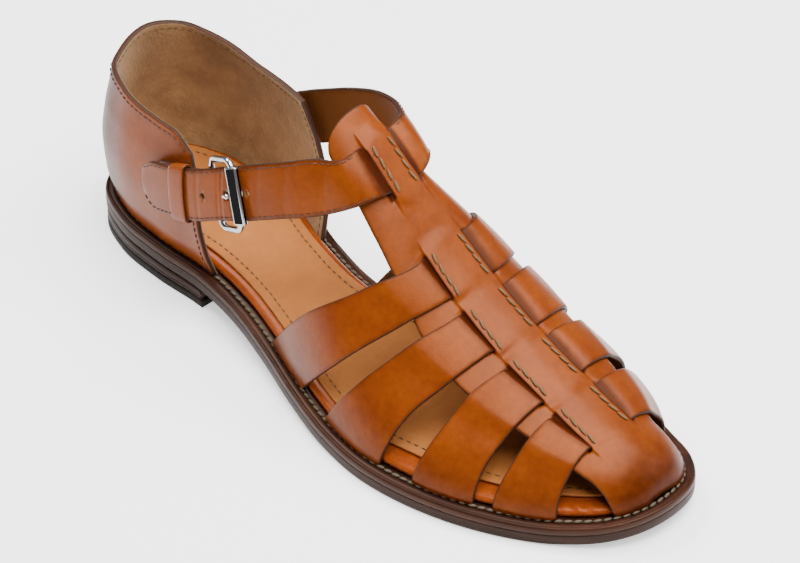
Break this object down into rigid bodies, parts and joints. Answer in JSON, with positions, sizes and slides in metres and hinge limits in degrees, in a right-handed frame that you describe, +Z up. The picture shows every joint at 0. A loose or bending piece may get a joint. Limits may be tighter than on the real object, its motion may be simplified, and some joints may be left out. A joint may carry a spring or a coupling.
{
  "type": "fisherman sandal",
  "caption": "Leather fisherman sandal for the right foot: T-bar and toe cap slotted for cross straps, closed heel counter, buckled ankle strap, welted low-heeled sole.",
  "frame": {"origin": "centre of the bounding box seen from above, at floor level", "axes": "-Y toward the toe, -X toward the outer side of the right foot, +Z up"},
  "size_m": [0.1053, 0.2992, 0.1126],
  "materials": {
    "cognac_leather": "satin",
    "counter_leather": "satin",
    "natural_sock_leather": "matte",
    "rolled_edge_leather": "gloss",
    "dark_sole_edge": "satin",
    "reddish_welt": "satin",
    "black_heel": "matte",
    "plated_steel": "polished"
  },
  "bodies": {
    "root": {"outsole": "dark_sole_edge", "heel_lift": "dark_sole_edge", "heel_top_piece": "black_heel", "welt": "reddish_welt", "footbed": "rolled_edge_leather", "insole": "natural_sock_leather", "upper": "cognac_leather", "ankle_strap": "cognac_leather", "inside_strap": "cognac_leather", "counter": "counter_leather", "keeper": "cognac_leather", "buckle_frame": "plated_steel", "buckle_prong": "plated_steel"}
  },
  "joints": []
}
